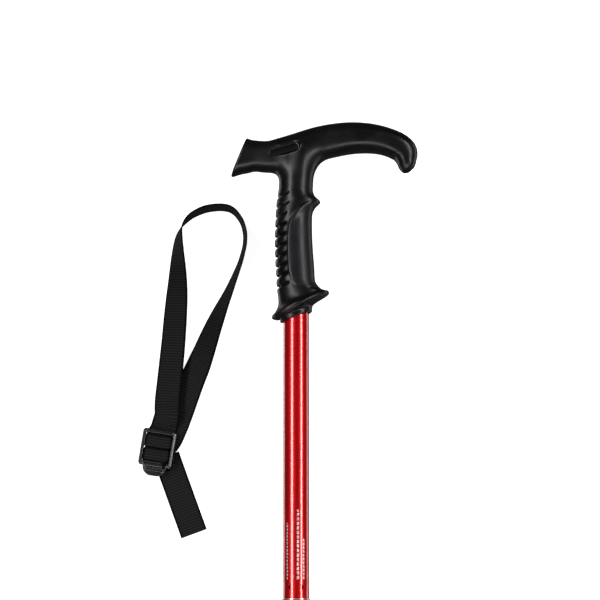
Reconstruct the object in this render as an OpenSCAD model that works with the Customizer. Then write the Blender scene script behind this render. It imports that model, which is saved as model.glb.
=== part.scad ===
// Adjustable walking stick with a T-handle, lying on its side, and its loose wrist strap beside it.
// The shaft's axis is the Y axis: the foot's face is at y = 0 and the handle is at the far end.
// +X is the side that the handle's hook points to, and +Z is up from the surface it lies on.

/* [Handle] */
// Depth of the handle's arm
arm_depth = 32; // [28:1:32]
// Depth of the hand guard at the handle's lower end
guard_depth = 36; // [34:1:36]
// Number of thumb grooves
groove_count = 10; // [8:1:10]
// Depth of a thumb groove
groove_depth = 1.9; // [1:0.1:2]

/* [Shaft] */
// Outside diameter of the tube in the handle
upper_d = 18; // [18:0.5:18.5]
// Outside diameter of the middle tube
middle_d = 16; // [15.5:0.1:16]
// Outside diameter of the lower tube
lower_d = 14; // [13.5:0.1:14]
// Length of the main tube
main_len = 295; // [285:5:330]
// Length of the upper tube that shows between the main tube and the handle
upper_shown = 196; // [180:1:220]

/* [Shock absorber] */
// Travel of the shock absorber
shock_travel = 10; // [8:0.5:10]
// Turns of the spring
spring_turns = 9; // [7:1:10]

/* [Foot] */
// Diameter of the rubber foot
foot_d = 23; // [21:0.5:25]
// Diameter of the basket
basket_d = 36; // [32:1:36]

/* [Wrist strap] */
// Thickness of the webbing
web_t = 1.1; // [0.9:0.1:1.1]
// Width of the webbing
web_w = 19; // [18:0.5:19]

/* [Hidden] */
$fn = 64;

// Clearances and walls
run = 0.08;      // radial gap of a sliding fit
seat_gap = 0.02; // radial gap of a pressed or glued fit
end_gap = 0.3;   // gap between faces of parts that move apart
wall = 0.8;      // wall of the upper tube
thin_wall = 0.6; // wall of the other tubes

// Radii
upper_r = upper_d / 2;
upper_bore = upper_r - wall;
main_bore = upper_r + run;
main_r = main_bore + thin_wall;
middle_r = middle_d / 2;
middle_bore = middle_r - thin_wall;
lower_r = lower_d / 2;
lower_bore = lower_r - wall;

// Places along the shaft, from the foot to the handle
foot_h = 38;
nose_y = 16;      // lower end of the ferrule
shoulder_y = 62;  // ferrule's shoulder, which the basket stops against
socket_y = 66;    // bottom of the ferrule's socket for the lower tube
ferrule_y = 86;   // upper end of the ferrule
stub = 14;        // length of a tube that shows between two ends when the stick is short
lip = 3;          // end wall of a collar
middle_collar_y = ferrule_y + stub;
middle_collar_h = 18;
middle_y = middle_collar_y + lip;
main_collar_y = middle_collar_y + middle_collar_h + stub;
main_collar_h = 20;
main_y = main_collar_y + lip;
main_top = main_y + main_len;
handle_y = main_top + upper_shown;
overlap = 50;     // length of the upper tube inside the main tube
upper_y = main_top - overlap;
seat_top = upper_y - shock_travel - end_gap;
seat_h = 14;
seat_y = seat_top - seat_h;
plug_h = 16;
crimp_y = main_top + plug_h / 2;
upper_lock_y = seat_y - 34;          // lower end of the upper expander
middle_top = upper_lock_y - lip - 1;
lower_lock_y = middle_top - 46;      // lower end of the lower expander
lower_top = lower_lock_y - lip - 1;
bore_depth = 95;                     // depth of the handle's bore for the upper tube
rest_z = -guard_depth / 2;           // height of the surface that the stick lies on

// ---------- helpers ----------

// Cylinder along the shaft's axis from y0 to y1
module rod(y0, y1, r) {
    translate([0, y0, 0]) rotate([-90, 0, 0]) cylinder(r = r, h = y1 - y0);
}

// Solid of revolution about the shaft's axis; the profile's points are [radius, y]
module turned(profile) {
    rotate([-90, 0, 0]) rotate_extrude() polygon(profile);
}

// Tube along the shaft's axis
module tube(y0, y1, r_out, r_in) {
    difference() {
        rod(y0, y1, r_out);
        rod(y0 - 1, y1 + 1, r_in);
    }
}

// n copies spaced evenly round the shaft's axis
module around(n, start = 0) {
    for (i = [0 : n - 1]) rotate([0, start + i * 360 / n, 0]) children();
}

// Catmull-Rom value at t from 0 to 1 between b and c
function spline(a, b, c, d, t) =
    0.5 * (2 * b + (c - a) * t + (2 * a - 5 * b + 4 * c - d) * t * t + (3 * b - a - 3 * c + d) * t * t * t);

// Row of a table at a fractional index s, by a smooth curve through its rows
function row_at(table, s) =
    let (n = len(table) - 1, i = min(floor(s), n - 1), t = s - i)
    spline(table[max(i - 1, 0)], table[i], table[i + 1], table[min(i + 2, n)], t);

// Side of a rounded square of exponent e, in place of the cosine and sine of a circle
function squarish(v, e) = sign(v) * pow(abs(v), 2 / e);

// Closed solid from rings of points, all with the same number of points
module loft(rings) {
    n = len(rings[0]);
    m = len(rings);
    polyhedron(
        points = [for (r = rings) each r],
        faces = concat(
            [[for (i = [0 : n - 1]) i]],
            [for (j = [0 : m - 2], i = [0 : n - 1])
                let (k = (i + 1) % n, a = j * n, b = a + n)
                each [[a + i, b + i, b + k], [a + i, b + k, a + k]]],
            [[for (i = [n - 1 : -1 : 0]) (m - 1) * n + i]]
        )
    );
}

// ---------- handle ----------

// Arm of the handle, from its left end to the hook's tip: x, height, half height, half depth
ARM = [
    [-40.3, 117.3, 14.5, 12.4], [-35.0, 116.9, 12.5, 12.8], [-28.9, 116.8, 10.9, 12.8],
    [-18.9, 116.3, 11.2, 13.3], [-8.8, 118.1, 11.9, 14.4], [2.7, 121.3, 12.2, 15.2],
    [14.3, 125.3, 11.8, 15.8], [25.8, 127.9, 11.6, 16.0], [38.7, 129.7, 11.0, 16.0],
    [51.7, 129.6, 10.3, 15.4], [62.5, 127.7, 9.7, 14.4], [71.9, 124.0, 9.6, 13.3],
    [76.9, 119.2, 9.5, 12.0], [78.2, 112.8, 7.3, 9.8], [77.7, 108.3, 5.3, 7.2], [77.3, 105.3, 2.4, 3.4]
];
ARM_SIDES = 24;
ARM_STEPS = 2;
ARM_ROUND = 2.3;   // exponent of its section
arm_face = 20.6;   // lean of the left end's face

// Lean of the arm's section at s, square to its middle line, and along the left end's own face there
function arm_lean(s) =
    let (a = row_at(ARM, max(s - 0.05, 0)), b = row_at(ARM, min(s + 0.05, len(ARM) - 1)))
    atan2(b[1] - a[1], b[0] - a[0]) - max(0, 1 - s / 2) * (arm_face + 3);

function arm_ring(s) =
    let (c = row_at(ARM, s), lean = arm_lean(s))
    [for (i = [0 : ARM_SIDES - 1])
        let (p = i * 360 / ARM_SIDES, h = c[2] * squarish(cos(p), ARM_ROUND))
        [c[0] - h * sin(lean), handle_y + c[1] + h * cos(lean),
         c[3] * arm_depth / 32 * squarish(sin(p), ARM_ROUND)]];

// Column of the handle above the hand guard: height, left side, right side, half depth
COLUMN = [
    [119, -20.0, 22.0, 13.0], [113, -20.0, 18.5, 13.0], [110, -19.0, 15.2, 12.8], [107, -17.5, 13.5, 12.6],
    [104, -15.2, 12.6, 12.6], [101, -13.2, 12.2, 12.6], [97, -12.3, 12.0, 12.6], [90, -12.8, 12.1, 12.8],
    [83.5, -13.8, 16.8, 13.2], [78, -14.3, 12.8, 13.6], [73, -14.6, 11.4, 13.9], [66, -14.9, 11.2, 14.1],
    [56, -15.1, 11.4, 14.3], [46, -14.9, 12.0, 14.3], [37, -14.5, 12.7, 14.2], [30, -13.9, 13.8, 14.0],
    [25, -13.3, 15.6, 14.0], [19, -12.5, 18.0, 14.1]
];
// How much higher the right end of a level of the column is than its left end, where it nears the guard
function column_lift(v) = v < 60 ? 7.5 * pow((60 - v) / 40, 1.5) : 0;

// Flare, rim, underside and sleeve of the hand guard: left end x and height, right end x and height,
// and half depth
GUARD = [
    [-12.0, 16.5, 15.9, 24.9, 14.2], [-11.9, 11.0, 18.2, 23.4, 14.9],
    [-13.3, 6.2, 20.9, 22.1, 16.0], [-16.2, 3.2, 22.7, 21.2, 17.4], [-18.0, 1.0, 23.4, 20.2, 18.0],
    [-17.9, -0.9, 23.0, 18.4, 18.0], [-16.8, -2.2, 21.4, 16.5, 17.2], [-13.4, -2.9, 12.9, 10.2, 13.2],
    [-10.9, -2.9, 10.9, 4.3, 11.2]
];
COLUMN_SIDES = 24;
COLUMN_ROUND = 2.15;
groove_top = 86;     // height of the first thumb groove
groove_pitch = 7.15;
groove_half = 1.7;   // half width of a groove at the surface

// Heights of the column's rings: the table's own above the grooves, then four at each groove
column_heights = concat(
    [for (r = COLUMN) if (r[0] > groove_top + groove_half) r[0]],
    [for (k = [0 : groove_count - 1], d = [groove_half, 0.6, -0.6, -groove_half])
        groove_top - k * groove_pitch + d]
);

// The column's table row at a height, found by the span that holds it
function column_at(v) =
    let (i = max([for (k = [0 : len(COLUMN) - 2]) if (COLUMN[k][0] >= v) k]),
         t = (COLUMN[i][0] - v) / (COLUMN[i][0] - COLUMN[i + 1][0]))
    row_at(COLUMN, i + t);

// Depth of the thumb grooves at a height, and how much of it is cut at angle p round the column
function groove_at(v) =
    max([for (k = [0 : groove_count - 1])
        abs(v - groove_top + k * groove_pitch) < 1 ? groove_depth : 0]);
function groove_share(p) = let (a = abs(p - 180)) a < 45 ? 1 : a < 80 ? (80 - a) / 35 : 0;

function column_ring(v) =
    let (c = column_at(v), right = column_at(v + column_lift(v))[2],
         a = (right - c[1]) / 2, mid = (c[1] + right) / 2, g = groove_at(v))
    [for (i = [0 : COLUMN_SIDES - 1])
        let (p = i * 360 / COLUMN_SIDES, k = 1 - g * groove_share(p) / a, u = squarish(cos(p), COLUMN_ROUND))
        [mid + a * k * u, handle_y + v + column_lift(v) * (1 + u) / 2,
         c[3] * k * squarish(sin(p), COLUMN_ROUND)]];

function guard_ring(g) =
    let (deep = g[4] * guard_depth / 36)
    [for (i = [0 : COLUMN_SIDES - 1])
        let (p = i * 360 / COLUMN_SIDES, t = (1 + cos(p)) / 2)
        [g[0] + (g[2] - g[0]) * t, handle_y + g[1] + (g[3] - g[1]) * t, deep * sin(p)]];

// Slot through the handle for the wrist strap, and the shallow recess round it
slot_x = -8.9;
slot_v = 118.7;
slot_len = 22;
slot_h = 6;
slot_lean = 16;
module slot_shape(len, h, depth) {
    translate([slot_x, handle_y + slot_v, 0]) rotate([0, 0, slot_lean])
        linear_extrude(height = depth, center = true)
            union() {
                square([len - h, h], center = true);
                for (s = [-1, 1]) translate([s * (len - h) / 2, 0]) circle(d = h);
            }
}

module handle_grip() {
    color([0.06, 0.06, 0.065])
    difference() {
        union() {
            loft([for (s = [0 : ARM_STEPS * (len(ARM) - 1)]) arm_ring(s / ARM_STEPS)]);
            loft(concat([for (v = column_heights) column_ring(v)], [for (g = GUARD) guard_ring(g)]));
        }
        rod(handle_y - 10, handle_y + bore_depth + end_gap, upper_r + seat_gap);
        slot_shape(slot_len, slot_h, 60);
    }
}

// ---------- upper tube and shock absorber ----------

crimps = 6;
crimp_r = 2.3;     // radius of the punch wheel
crimp_w = 1.5;     // its thickness
crimp_depth = 0.7;
module crimp(r, w) {
    translate([0, crimp_y, upper_r + crimp_r - crimp_depth]) rotate([0, 90, 0])
        cylinder(r = r, h = w, center = true);
}

module upper_tube() {
    color([0.7, 0.02, 0.03])
    difference() {
        union() {
            tube(upper_y, handle_y + bore_depth, upper_r, upper_bore);
            intersection() {
                around(crimps, 30) crimp(crimp_r + thin_wall, crimp_w + 2 * thin_wall);
                rod(crimp_y - 4, crimp_y + 4, upper_bore + 0.3);
            }
        }
        around(crimps, 30) crimp(crimp_r, crimp_w);
    }
}

rod_r = 2.5;
module shock_plug() {
    r = upper_bore - seat_gap;
    groove = r - 1.2;
    color([0.12, 0.12, 0.13])
    turned([
        [rod_r + run, main_top], [r, main_top], [r, crimp_y - 3], [groove, crimp_y - 3],
        [groove, crimp_y + 3], [r, crimp_y + 3], [r, main_top + plug_h], [rod_r + run, main_top + plug_h]
    ]);
}

head_h = 3;
washer_h = 1;
nut_h = 4;
rod_top = main_top + plug_h + end_gap + washer_h + nut_h + 1.5;
module shock_rod() {
    color("silver") {
        rod(seat_y + head_h, rod_top, rod_r);
        translate([0, seat_y + 0.2, 0]) rotate([-90, 0, 0]) cylinder(d = 8, h = head_h - 0.2, $fn = 6);
    }
}

module shock_washer() {
    y = main_top + plug_h + end_gap;
    color("silver") tube(y, y + washer_h, 6, rod_r + 0.1);
}

module shock_nut() {
    y = main_top + plug_h + end_gap + washer_h + 0.05;
    color("silver")
    difference() {
        translate([0, y, 0]) rotate([-90, 0, 0]) cylinder(d = 9.2, h = nut_h, $fn = 6);
        rod(y - 1, y + nut_h + 1, rod_r + seat_gap);
    }
}

spring_wire = 1.8;
module shock_spring() {
    coil_r = upper_bore - 0.6 - spring_wire / 2;
    y0 = seat_top + spring_wire / 2 + 0.1;
    rise = main_top - spring_wire / 2 - 0.1 - y0;
    steps = spring_turns * 14;
    color("silver")
    loft([for (j = [0 : steps])
        let (turn = j * 360 / 14, y = y0 + rise * j / steps)
        [for (i = [0 : 7])
            let (q = i * 45, r = coil_r + spring_wire / 2 * cos(q))
            [r * cos(turn), y + spring_wire / 2 * sin(q), r * sin(turn)]]]);
}

module spring_seat() {
    r = main_bore - seat_gap;
    color([0.12, 0.12, 0.13])
    difference() {
        rod(seat_y, seat_top, r);
        rod(seat_y - 1, seat_top + 1, rod_r + seat_gap);
        rod(seat_y - 1, seat_y + head_h, 5.2);
    }
}

// ---------- tubes and collars ----------

module main_tube() {
    color([0.7, 0.02, 0.03]) tube(main_y, main_top, main_r, main_bore);
}

module middle_tube() {
    color([0.75, 0.76, 0.78]) tube(middle_y, middle_top, middle_r, middle_bore);
}

module lower_tube() {
    color([0.75, 0.76, 0.78]) tube(socket_y, lower_top, lower_r, lower_bore);
}

// Cap over a tube's end that guides the next tube: y, height, the outer tube's radius, the inner one's
module collar(y, h, r_tube, r_next) {
    r = r_tube + 1.2;
    color([0.06, 0.06, 0.065])
    turned([
        [r_next + run, y], [r - 0.8, y], [r, y + 0.8], [r, y + h - 6], [r - 0.5, y + h - 5.4],
        [r - 0.5, y + h - 1], [r - 0.9, y + h], [r_tube + seat_gap, y + h], [r_tube + seat_gap, y + lip],
        [r_next + run, y + lip]
    ]);
}
module main_collar() collar(main_collar_y, main_collar_h, main_r, middle_r);
module middle_collar() collar(middle_collar_y, middle_collar_h, middle_r, lower_r);

// ---------- twist locks ----------

upper_lock_h = 30;
lower_lock_h = 26;
cone_drop = 2;     // how much narrower the cone is at its lower end
cone_play = 0.3;   // radial gap round the cone nut when the lock is open
key_w = 1.2;

// Radius of a lock's cone at a height above the expander's lower end
function cone_r(h, lock_h, r_top) = r_top - cone_drop * (lock_h - h) / 20;

// Slotted sleeve that grips the outer tube: its lower end, height, outer radius, cone and screw radii
module expander(y, h, r_out, r_cone, r_screw) {
    throat = h - 20;
    color([0.75, 0.73, 0.68])
    difference() {
        turned([
            [r_screw + 0.3, y], [r_out - 0.6, y], [r_out, y + 0.8], [r_out, y + h - 0.8],
            [r_out - 0.4, y + h],
            [r_cone, y + h], [cone_r(throat, h, r_cone), y + throat], [r_screw + 0.3, y + throat]
        ]);
        around(4) translate([-0.8, y + throat - 2, 0]) cube([1.6, h, r_out + 1]);
    }
}

// Cone that the screw draws into the expander, with keys in the expander's slots
module cone_nut(y, h, r_out, r_cone, r_screw) {
    low = h - 14;
    high = h - 2.5;
    color([0.1, 0.1, 0.1])
    difference() {
        union() {
            turned([
                [0, y + low], [cone_r(low, h, r_cone) - cone_play, y + low],
                [cone_r(high, h, r_cone) - cone_play, y + high], [0, y + high]
            ]);
            around(4) translate([-key_w / 2, y + low, 0]) cube([key_w, high - low - 1, r_out - 1]);
        }
        rod(y, y + h, r_screw + 0.06);
    }
}

// Screw whose plug is pressed into the inner tube's end: y is the expander's lower end
module lock_screw(y, h, r_tube, r_bore, plug, r_screw) {
    top = y - end_gap;
    color([0.7, 0.7, 0.72])
    turned([
        [0, top - lip - plug - 0.7], [r_bore - seat_gap - 0.5, top - lip - plug - 0.7],
        [r_bore - seat_gap, top - lip - plug], [r_bore - seat_gap, top - lip - 0.7],
        [r_tube - 0.1, top - lip - 0.7], [r_tube - 0.1, top], [r_screw, top],
        [r_screw, y + h - 0.8], [r_screw + 1, y + h - 0.8],
        [r_screw + 1, y + h + 1.2], [0, y + h + 1.2]
    ]);
}

upper_screw_r = 3;
lower_screw_r = 2.5;
upper_cone_r = 7.2;
lower_cone_r = 5.8;
upper_grip_r = main_bore - run;
lower_grip_r = middle_bore - run;

module upper_expander() expander(upper_lock_y, upper_lock_h, upper_grip_r, upper_cone_r, upper_screw_r);
module upper_cone_nut() cone_nut(upper_lock_y, upper_lock_h, upper_grip_r, upper_cone_r, upper_screw_r);
module upper_lock_screw() lock_screw(upper_lock_y, upper_lock_h, middle_r, middle_bore, 14, upper_screw_r);
module lower_expander() expander(lower_lock_y, lower_lock_h, lower_grip_r, lower_cone_r, lower_screw_r);
module lower_cone_nut() cone_nut(lower_lock_y, lower_lock_h, lower_grip_r, lower_cone_r, lower_screw_r);
module lower_lock_screw() lock_screw(lower_lock_y, lower_lock_h, lower_r, lower_bore, 12, lower_screw_r);

// ---------- tip, basket and foot ----------

nose_r = 5.5;
hub_r = 8;
carbide_r = 2.5;
module tip_ferrule() {
    color([0.06, 0.06, 0.065])
    difference() {
        turned([
            [0, nose_y], [nose_r - 0.8, nose_y], [nose_r, nose_y + 0.8], [nose_r, 44], [hub_r, 54],
            [hub_r, shoulder_y], [9.4, shoulder_y], [9.4, socket_y - 1], [8.8, socket_y],
            [8.4, ferrule_y - 1],
            [8, ferrule_y], [0, ferrule_y]
        ]);
        rod(socket_y, ferrule_y + 1, lower_r + seat_gap);
        rod(nose_y - 1, nose_y + 10, carbide_r + seat_gap);
    }
}

module carbide_tip() {
    color([0.45, 0.46, 0.48])
    difference() {
        rod(nose_y - 7, nose_y + 9.5, carbide_r);
        translate([0, nose_y - 9.4, 0]) sphere(r = 3);
    }
}

spokes = 6;
module mud_basket() {
    y = shoulder_y - 5;
    r = basket_d / 2;
    color([0.06, 0.06, 0.065]) {
        difference() {
            union() {
                tube(y, shoulder_y - 0.1, hub_r + 3, hub_r + seat_gap);
                turned([
                    [r - 4, y + 0.5], [r - 0.6, y + 0.2], [r, y + 0.8],
                    [r, y + 2.4], [r - 0.6, y + 3], [r - 4, y + 2.6]
                ]);
                around(spokes) translate([-1.6, y + 0.8, hub_r + 1]) cube([3.2, 2, r - 4 - hub_r]);
            }
            rod(y - 1, shoulder_y + 1, hub_r + seat_gap);
        }
    }
}

module rubber_foot() {
    r = foot_d / 2;
    color([0.05, 0.05, 0.05])
    difference() {
        turned([
            [0, 0], [r - 1, 0], [r, 1], [r, 6.5], [r - 0.8, 7.6], [r - 0.8, 9], [r - 0.2, 10], [r - 0.2, 12],
            [r - 1.6, 13.4], [r - 1.8, 16], [r - 2.9, 26], [r - 3.3, foot_h - 2.5], [r - 2.5, foot_h - 2],
            [r - 2.5, foot_h - 0.5], [r - 3, foot_h], [0, foot_h]
        ]);
        rod(nose_y - 2, foot_h + 1, nose_r + run);
        rod(6, nose_y, carbide_r + end_gap);
        for (q = [3.2, 6.4]) tube(-1, 1.2, q + 1.6, q);
    }
}

// ---------- wrist strap ----------

buckle_x = -95.7;       // middle of the buckle's upper bar
buckle_y = handle_y - 77.5;
buckle_turn = -9;       // its length runs this far from -Y, with its thumb tab towards -X

// Point p along the buckle from its upper bar, q to its right, h above the surface
function in_buckle(p, q, h) = [
    buckle_x + q * cos(buckle_turn) + p * sin(buckle_turn),
    buckle_y + q * sin(buckle_turn) - p * cos(buckle_turn),
    rest_z + h
];

// Middle line of the webbing and the direction of its width: along the buckle p, to its right q, height h,
// turn of the width from the buckle's own width; from the sewn end round the first bar to the left leg
FIXED_END = [
    [5.0, 0, 3.25, 0], [9.0, 0, 3.25, 0], [11.6, 0, 3.5, 0], [12.25, 0, 4.9, 0], [11.2, 0, 6.45, 0],
    [8.0, 0, 6.75, 0], [5.4, 0, 6.45, 0], [4.3, 0, 4.9, 0], [3.2, 0.15, 3.35, 0], [1.6, 0.9, 2.8, 0],
    [0, 1.6, 2.6, -1], [-4, 2.4, 2.8, 0]
];
// The same from the right leg up over the second bar, down and back, and round into the tail
FREE_END = [
    [-1, 8.4, 1.8, -14], [4, 7.1, 1.8, -16], [8.6, 4.9, 1.85, -15], [11.4, 2.0, 1.9, -8],
    [13.2, 0.3, 2.6, -1], [13.85, 0, 3.9, 0], [14.0, 0, 5.3, 0], [15.2, 0, 6.55, 0], [18.0, 0, 6.75, 0],
    [20.6, 0, 6.45, 0], [21.8, 0, 5.0, 0], [21.8, 0.4, 3.2, 2], [21.2, 2.0, 2.05, 9],
    [19.8, 4.6, 1.95, 18], [18.5, 6.6, 1.85, 25], [17.9, 7.1, 1.3, 28], [18.6, 7.5, 0.7, 29],
    [22.0, 9.3, 0.6, 29.2], [40.0, 19.3, 0.6, 29.2], [68.1, 35.0, 0.6, 29.2]
];
// Loop of the webbing between them: x, y below handle_y, turn and lift of its width from the surface
LOOP = [
    [-91.2, -67, -7, 17], [-90.9, -56.4, -7, 15], [-89.6, -42, -7, 19], [-88.3, -28.2, -6, 21],
    [-87, -13.5, -5, 24], [-86, 0.8, -4, 27], [-85, 15.2, -3, 33], [-84.4, 26.4, -2, 41],
    [-84.2, 37.4, -2, 50], [-84.2, 46.1, -2, 58], [-84, 54.7, -4, 66], [-83.4, 60.8, -8, 73],
    [-82.1, 65.9, -10, 81], [-80.1, 69.6, -10, 87], [-77.5, 72.7, 130, 89], [-74.5, 75.3, 128, 87],
    [-71.1, 77.3, 118, 86], [-67.6, 78.9, 112, 85], [-63.9, 80.1, 105, 84.5], [-60.1, 80.8, 98, 84.5],
    [-56, 81.2, 91, 84.5], [-51.7, 81.1, 82, 84.5], [-47.3, 80.1, 66, 84.5], [-43.7, 77.7, 46, 84.5],
    [-40.8, 74.2, 35, 84.5], [-38.5, 70.2, 23, 84], [-37.2, 66, 13, 83], [-36.4, 61.7, 3, 82],
    [-36.4, 57.6, -5, 81], [-36.8, 53.4, -10, 80], [-37.9, 48.5, -14, 79], [-39.5, 42.6, -19, 77.5],
    [-42.2, 35.1, -22, 74.5], [-45.2, 27.5, -23, 71], [-48.3, 19.9, -23, 66], [-51.7, 12.3, -24, 60],
    [-55.6, 3.3, -23, 52], [-59.2, -5.5, -22, 45], [-62.5, -14.1, -21, 38], [-65.8, -23, -20, 31],
    [-69.4, -32, -20, 22], [-74.4, -43.5, -20, 13], [-78.1, -53.4, -20, 7], [-81.6, -63.3, -20, 4],
    [-85, -72.6, -22, 2]
];
loop_over = 2.2;   // the left leg lies this much higher than the surface where it crosses the right leg

// Height of the loop's middle line: its lower edge on the surface, or the left leg over the right one
function loop_h(i) =
    web_t / 2 + 0.05 + web_w / 2 * sin(LOOP[i][3]) + (i < 5 ? loop_over * (5 - i) / 5 : 0)
    + (i > len(LOOP) - 4 ? 0.35 * (i - len(LOOP) + 4) : 0);

// Stations of the whole strap: middle point, direction of the width
strap_stations = concat(
    [for (s = FIXED_END)
        [in_buckle(s[0], s[1], s[2]), [cos(buckle_turn + s[3]), sin(buckle_turn + s[3]), 0]]],
    [for (i = [0 : len(LOOP) - 1])
        let (s = LOOP[i])
        [[s[0], handle_y + s[1], rest_z + loop_h(i)],
         [cos(s[2]) * cos(s[3]), sin(s[2]) * cos(s[3]), sin(s[3])]]],
    [for (s = FREE_END)
        [in_buckle(s[0], s[1], s[2]), [cos(buckle_turn + s[3]), sin(buckle_turn + s[3]), 0]]]
);

function unit(v) = v / norm(v);
function strap_ring(k) =
    let (n = len(strap_stations) - 1, s = strap_stations[k],
         way = unit(strap_stations[min(k + 1, n)][0] - strap_stations[max(k - 1, 0)][0]),
         across = s[1] * web_w / 2, up = unit(cross(way, s[1])) * web_t / 2)
    [s[0] - across - up, s[0] + across - up, s[0] + across + up, s[0] - across + up];

module wrist_strap() {
    color([0.05, 0.05, 0.05]) loft([for (k = [0 : len(strap_stations) - 1]) strap_ring(k)]);
}

buckle_in = web_w / 2 + 0.3;
buckle_out = buckle_in + 1.8;
bar_h = 3.95;    // height of the bars' undersides above the surface
module buckle_bar(p0, p1, h0, h1) {
    translate([-buckle_in - 0.5, -p1, h0]) cube([2 * buckle_in + 1, p1 - p0, h1 - h0]);
}

module strap_buckle() {
    color([0.08, 0.08, 0.08])
    translate([buckle_x, buckle_y, rest_z]) rotate([0, 0, buckle_turn])
        union() {
            for (s = [-1, 1]) translate([s * (buckle_in + buckle_out) / 2, -13, 5.6])
                cube([buckle_out - buckle_in, 26, 4], center = true);
            buckle_bar(0, 2.6, bar_h, 6.6);
            buckle_bar(6.0, 10.6, bar_h, 5.85);
            buckle_bar(15.6, 20.4, bar_h, 5.85);
            buckle_bar(22.8, 26, bar_h, 6.4);
            intersection() {
                translate([-8, -33, 4.4]) cube([16, 9, 2]);
                translate([0, -23, 4.4]) cylinder(r = 10, h = 2);
            }
        }
}

handle_grip();
upper_tube();
shock_plug();
shock_rod();
shock_washer();
shock_nut();
shock_spring();
spring_seat();
main_tube();
main_collar();
upper_expander();
upper_cone_nut();
upper_lock_screw();
middle_tube();
middle_collar();
lower_expander();
lower_cone_nut();
lower_lock_screw();
lower_tube();
tip_ferrule();
carbide_tip();
mud_basket();
rubber_foot();
wrist_strap();
strap_buckle();
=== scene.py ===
import math

import bpy
import numpy as np
from mathutils import Matrix, Vector


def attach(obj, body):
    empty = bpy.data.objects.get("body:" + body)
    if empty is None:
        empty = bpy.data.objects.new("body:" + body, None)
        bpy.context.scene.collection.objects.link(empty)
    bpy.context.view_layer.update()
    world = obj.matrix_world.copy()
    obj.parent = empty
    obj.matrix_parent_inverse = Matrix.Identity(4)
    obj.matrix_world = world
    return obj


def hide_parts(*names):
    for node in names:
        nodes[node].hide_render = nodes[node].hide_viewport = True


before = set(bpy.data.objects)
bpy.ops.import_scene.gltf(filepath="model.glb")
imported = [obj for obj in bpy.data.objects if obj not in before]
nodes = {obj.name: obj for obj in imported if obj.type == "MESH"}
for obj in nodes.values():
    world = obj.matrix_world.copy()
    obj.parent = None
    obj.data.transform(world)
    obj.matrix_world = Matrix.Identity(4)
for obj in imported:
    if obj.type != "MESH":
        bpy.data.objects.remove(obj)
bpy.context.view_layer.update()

MM = 0.001
HANDLE_Y = 626.0    # lower end of the handle along the shaft, mm
FLOOR_Z = -18.0     # surface that the stick lies on, mm
CRIMP_Y = 438.0     # height of the painted dimple shadows in the upper tube, mm
MAIN_TOP = 430.0    # upper end of the main tube, mm
RIB_PITCH = 1.9     # of the webbing's cross ribs, mm
RIB_SWAY = 0.7      # how far the warp shifts the ribs, radians
WARPS = 6.5         # turns of that shift across the webbing

# ---------------------------------------------------------------- camera
SIDE = 600          # width of the image
FOCAL = 2434        # focal length in the same unit
SENSOR = 36.0
cam_data = bpy.data.cameras.new("camera")
cam = bpy.data.objects.new("camera", cam_data)
bpy.context.scene.collection.objects.link(cam)
cam_data.sensor_width = SENSOR
cam_data.lens = FOCAL / SIDE * SENSOR
cam_data.clip_start, cam_data.clip_end = 0.05, 60
CAM_PITCH = math.radians(8.203)
cam.location = Vector((2.7, 394.3, 1700)) * MM
cam.rotation_euler = (CAM_PITCH, 0, 0)
bpy.context.scene.camera = cam

# ---------------------------------------------------------------- light
scene = bpy.context.scene
scene.view_settings.view_transform = "Standard"
scene.view_settings.look = "None"
world = bpy.data.worlds.new("studio")
scene.world = world
world.use_nodes = True
wt = world.node_tree
wt.nodes.clear()
w_out = wt.nodes.new("ShaderNodeOutputWorld")
w_mix = wt.nodes.new("ShaderNodeMixShader")
w_path = wt.nodes.new("ShaderNodeLightPath")
w_dark = wt.nodes.new("ShaderNodeBackground")
w_white = wt.nodes.new("ShaderNodeBackground")
w_dark.inputs["Color"].default_value = (0.9, 0.95, 1.0, 1)
w_dark.inputs["Strength"].default_value = 0.06
w_white.inputs["Color"].default_value = (1, 1, 1, 1)
w_white.inputs["Strength"].default_value = 1.0
wt.links.new(w_path.outputs["Is Camera Ray"], w_mix.inputs[0])
wt.links.new(w_dark.outputs[0], w_mix.inputs[1])
wt.links.new(w_white.outputs[0], w_mix.inputs[2])
wt.links.new(w_mix.outputs[0], w_out.inputs["Surface"])


def area_light(name, where, aim, size, power):
    data = bpy.data.lights.new(name, "AREA")
    data.shape = "RECTANGLE"
    data.size, data.size_y = size
    data.energy = power
    obj = bpy.data.objects.new(name, data)
    scene.collection.objects.link(obj)
    obj.location = where
    # the light's own y axis stays along the shaft
    z = (Vector(where) - Vector(aim)).normalized()
    y = Vector((0, 1, 0)) if abs(z.y) < 0.9 else Vector((0, 0, 1))
    x = y.cross(z).normalized()
    y = z.cross(x).normalized()
    obj.rotation_mode = "QUATERNION"
    obj.rotation_quaternion = Matrix((x, y, z)).transposed().to_quaternion()
    obj.visible_camera = False


MID = (0.0, 0.55, 0.0)
STRIP_R = 1.3       # distance of the side lights from the shaft, m
# name, side, angle from straight above, width, length, power; the rims are the weak light that a
# white table gives
for name, side, angle, wide, long, power in (
        ("strip_left", -1, 37, 0.34, 2.1, 32), ("strip_right", 1, 48, 0.26, 2.1, 28),
        ("rim_left", -1, 138, 0.22, 2.0, 4.6), ("rim_right", 1, 119, 0.22, 2.0, 4.6)):
    angle = math.radians(angle)
    where = (side * STRIP_R * math.sin(angle), MID[1], STRIP_R * math.cos(angle))
    area_light(name, where, MID, (wide, long), power)
area_light("front", (0.0, -1.1, 0.78), (0.0, 0.7, 0.0), (1.5, 0.55), 20)

# ---------------------------------------------------------------- node helpers


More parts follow.
